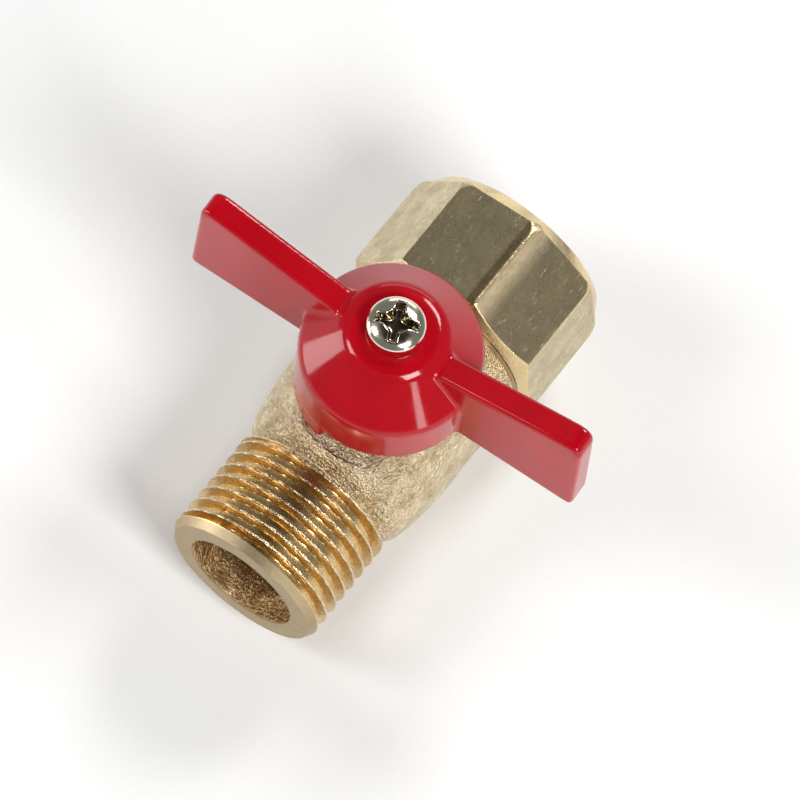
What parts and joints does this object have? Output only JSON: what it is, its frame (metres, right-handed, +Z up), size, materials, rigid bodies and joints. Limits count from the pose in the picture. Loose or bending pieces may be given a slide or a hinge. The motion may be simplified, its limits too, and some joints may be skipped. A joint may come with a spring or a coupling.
{
  "type": "ball valve",
  "caption": "Small brass quarter-turn ball valve with a male threaded end, an octagonal female threaded end and a red butterfly handle.",
  "frame": {"origin": "under the stem axis, at the level of the lowest edge of the octagonal connector; the flow axis lies 13.52 mm above it", "axes": "+X along the flow axis towards the female end, +Z up the stem towards the handle, +Y to the left of someone looking towards the female end"},
  "size_m": [0.0546, 0.0534, 0.0428],
  "materials": {
    "cast_brass": "sand-cast, blasted, pale gold with a sparkling grain",
    "turned_brass": "milled flats and a forged collar, satin",
    "chromed_ball": "polished chrome plating",
    "seat_plastic": "white sealing plastic, satin",
    "seal_rubber": "matte black rubber",
    "stem_brass": "turned, bright",
    "red_enamel": "glossy red enamel on a die-cast handle",
    "plated_screw": "bright plating with a yellow tint"
  },
  "bodies": {
    "valve_shell": {"valve_body": "cast_brass", "end_connector": "turned_brass", "seat_ring_inlet": "seat_plastic", "seat_ring_outlet": "seat_plastic", "connector_seal_ring": "seal_rubber", "stem_thrust_washer": "seat_plastic"},
    "handle_and_stem": {"handle": "red_enamel", "handle_screw": "plated_screw", "stem": "stem_brass", "stem_o_ring_lower": "seal_rubber", "stem_o_ring_upper": "seal_rubber"},
    "ball_body": {"ball": "chromed_ball"}
  },
  "joints": [
    {"name": "handle_turn", "type": "hinge", "parent": "valve_shell", "child": "handle_and_stem", "pos_m": [0, 0, 0.01352], "axis": [0, 0, 1], "range_deg": [-3, 87]},
    {"name": "ball_turn", "type": "hinge", "parent": "valve_shell", "child": "ball_body", "pos_m": [0, 0, 0.01352], "axis": [0, 0, 1], "range_deg": [-3, 87]}
  ],
  "couplings": [
    {"joint": "ball_turn", "follows": "handle_turn", "ratio": 1}
  ]
}
